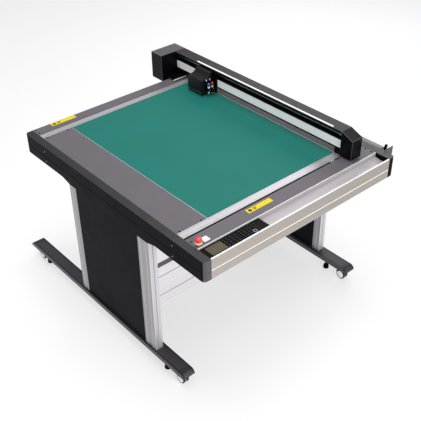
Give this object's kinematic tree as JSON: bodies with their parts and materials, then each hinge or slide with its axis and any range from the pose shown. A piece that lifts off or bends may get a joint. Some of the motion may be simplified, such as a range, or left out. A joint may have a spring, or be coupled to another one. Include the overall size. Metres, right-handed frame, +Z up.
{
  "type": "flatbed vinyl cutter",
  "caption": "Flatbed vinyl cutter on a two-legged caster stand: gantry with sliding tool head over a green mat, front control panel and a side roll holder.",
  "frame": {"origin": "on the floor under the centre of the bounding box", "axes": "+X to the operator's right, the way the gantry travels; +Y to the rear; +Z up"},
  "size_m": [1.381, 1.666, 1.089],
  "materials": {
    "aluminium": "anodised",
    "belt_rubber": "matte",
    "black_paint": "satin powder coat",
    "black_plastic": "fine texture",
    "blue_anodised": "anodised blue",
    "bracket_paint": "satin",
    "display_glass": "gloss",
    "gantry_paint": "satin",
    "grey_paint": "satin",
    "mat_vinyl": "matte",
    "red_anodised": "anodised red",
    "red_plastic": "gloss",
    "steel": "satin",
    "tube_paint": "satin",
    "tyre": "matte",
    "yellow_plastic": "gloss"
  },
  "bodies": {
    "table": {"left_foot_beam": "black_paint", "left_front_column": "aluminium", "left_rear_column": "aluminium", "right_foot_beam": "black_paint", "right_front_column": "aluminium", "right_rear_column": "aluminium", "right_leg_panel": "black_paint", "left_leg_panel": "black_paint", "cross_beam": "aluminium", "base_pan": "grey_paint", "bed_panel": "aluminium", "left_deck_plate": "grey_paint", "cutting_mat": "mat_vinyl", "right_deck_plate": "grey_paint", "front_rail": "aluminium", "rear_rail": "aluminium", "front_deck_strip": "grey_paint", "rear_deck_strip": "grey_paint", "front_extrusion": "aluminium", "left_cover_upper": "black_plastic", "left_cover_lower": "black_plastic", "right_cover_upper": "black_plastic", "right_cover_lower": "black_plastic", "control_panel": "black_plastic", "display_window": "display_glass", "estop_base": "yellow_plastic", "power_inlet": "black_plastic", "front_belt": "belt_rubber", "rear_belt": "belt_rubber", "drive_motor": "black_paint", "roll_bracket_front": "bracket_paint", "roll_bracket_rear": "bracket_paint"},
    "estop_mushroom": {"estop_button": "red_plastic"},
    "gantry": {"gantry_beam": "aluminium", "gantry_cover": "gantry_paint", "gantry_front_housing": "gantry_paint", "gantry_rear_housing": "gantry_paint", "gantry_front_carriage": "black_paint", "gantry_rear_carriage": "black_paint", "head_belt": "belt_rubber", "head_motor": "black_paint"},
    "head": {"head_carriage": "black_plastic", "head_cover": "black_plastic"},
    "blue_tool_slide": {"blue_tool": "blue_anodised"},
    "red_tool_slide": {"red_tool": "red_anodised"},
    "drive_shaft_turning": {"drive_shaft": "steel"},
    "idler_shaft_turning": {"idler_shaft": "steel"},
    "media_roll": {"roll_tube": "tube_paint"},
    "left_front_caster": {"left_front_caster_stem": "steel"},
    "left_front_wheel": {"left_front_caster_wheel": "tyre"},
    "left_front_leveller": {"left_front_levelling_foot": "steel"},
    "left_rear_caster": {"left_rear_caster_stem": "steel"},
    "left_rear_wheel": {"left_rear_caster_wheel": "tyre"},
    "left_rear_leveller": {"left_rear_levelling_foot": "steel"},
    "right_front_caster": {"right_front_caster_stem": "steel"},
    "right_front_wheel": {"right_front_caster_wheel": "tyre"},
    "right_front_leveller": {"right_front_levelling_foot": "steel"},
    "right_rear_caster": {"right_rear_caster_stem": "steel"},
    "right_rear_wheel": {"right_rear_caster_wheel": "tyre"},
    "right_rear_leveller": {"right_rear_levelling_foot": "steel"}
  },
  "joints": [
    {"name": "estop_press", "type": "slide", "parent": "table", "child": "estop_mushroom", "axis": [0, 0, 1], "range_m": [-0.004, 0], "stiffness_N_per_m": 1500, "springref_m": 0.003},
    {"name": "gantry_travel", "type": "slide", "parent": "table", "child": "gantry", "axis": [1, 0, 0], "range_m": [-0.81, 0.05]},
    {"name": "head_travel", "type": "slide", "parent": "gantry", "child": "head", "axis": [0, 1, 0], "range_m": [-0.912, 0.14]},
    {"name": "blue_tool_drop", "type": "slide", "parent": "head", "child": "blue_tool_slide", "axis": [0, 0, 1], "range_m": [-0.0075, 0], "stiffness_N_per_m": 500, "springref_m": 0.01},
    {"name": "red_tool_drop", "type": "slide", "parent": "head", "child": "red_tool_slide", "axis": [0, 0, 1], "range_m": [-0.0075, 0], "stiffness_N_per_m": 500, "springref_m": 0.01},
    {"name": "drive_shaft_turn", "type": "hinge", "parent": "table", "child": "drive_shaft_turning", "pos_m": [0.5255, -0.0251, 0.868], "axis": [0, 1, 0], "continuous": true},
    {"name": "idler_shaft_turn", "type": "hinge", "parent": "table", "child": "idler_shaft_turning", "pos_m": [-0.5945, -0.0251, 0.868], "axis": [0, 1, 0], "continuous": true},
    {"name": "roll_turn", "type": "hinge", "parent": "table", "child": "media_roll", "pos_m": [0.6575, -0.082, 0.911], "axis": [0, 1, 0], "continuous": true},
    {"name": "left_front_swivel", "type": "hinge", "parent": "table", "child": "left_front_caster", "pos_m": [-0.6525, -0.593, 0.0857], "axis": [0, 0, 1], "continuous": true},
    {"name": "left_front_wheel_spin", "type": "hinge", "parent": "left_front_caster", "child": "left_front_wheel", "pos_m": [-0.6525, -0.607, 0.0305], "axis": [1, 0, 0], "continuous": true},
    {"name": "left_front_levelling", "type": "slide", "parent": "table", "child": "left_front_leveller", "axis": [0, 0, 1], "range_m": [-0.008, 0.012]},
    {"name": "left_rear_swivel", "type": "hinge", "parent": "table", "child": "left_rear_caster", "pos_m": [-0.6525, 0.77, 0.0857], "axis": [0, 0, 1], "continuous": true},
    {"name": "left_rear_wheel_spin", "type": "hinge", "parent": "left_rear_caster", "child": "left_rear_wheel", "pos_m": [-0.6525, 0.756, 0.0305], "axis": [1, 0, 0], "continuous": true},
    {"name": "left_rear_levelling", "type": "slide", "parent": "table", "child": "left_rear_leveller", "axis": [0, 0, 1], "range_m": [-0.008, 0.012]},
    {"name": "right_front_swivel", "type": "hinge", "parent": "table", "child": "right_front_caster", "pos_m": [0.5835, -0.593, 0.0857], "axis": [0, 0, 1], "continuous": true},
    {"name": "right_front_wheel_spin", "type": "hinge", "parent": "right_front_caster", "child": "right_front_wheel", "pos_m": [0.5835, -0.607, 0.0305], "axis": [1, 0, 0], "continuous": true},
    {"name": "right_front_levelling", "type": "slide", "parent": "table", "child": "right_front_leveller", "axis": [0, 0, 1], "range_m": [-0.008, 0.012]},
    {"name": "right_rear_swivel", "type": "hinge", "parent": "table", "child": "right_rear_caster", "pos_m": [0.5835, 0.77, 0.0857], "axis": [0, 0, 1], "continuous": true},
    {"name": "right_rear_wheel_spin", "type": "hinge", "parent": "right_rear_caster", "child": "right_rear_wheel", "pos_m": [0.5835, 0.756, 0.0305], "axis": [1, 0, 0], "continuous": true},
    {"name": "right_rear_levelling", "type": "slide", "parent": "table", "child": "right_rear_leveller", "axis": [0, 0, 1], "range_m": [-0.008, 0.012]}
  ],
  "couplings": [
    {"joint": "drive_shaft_turn", "follows": "gantry_travel", "rad_per_m": 57.803},
    {"joint": "idler_shaft_turn", "follows": "gantry_travel", "rad_per_m": 57.803}
  ]
}
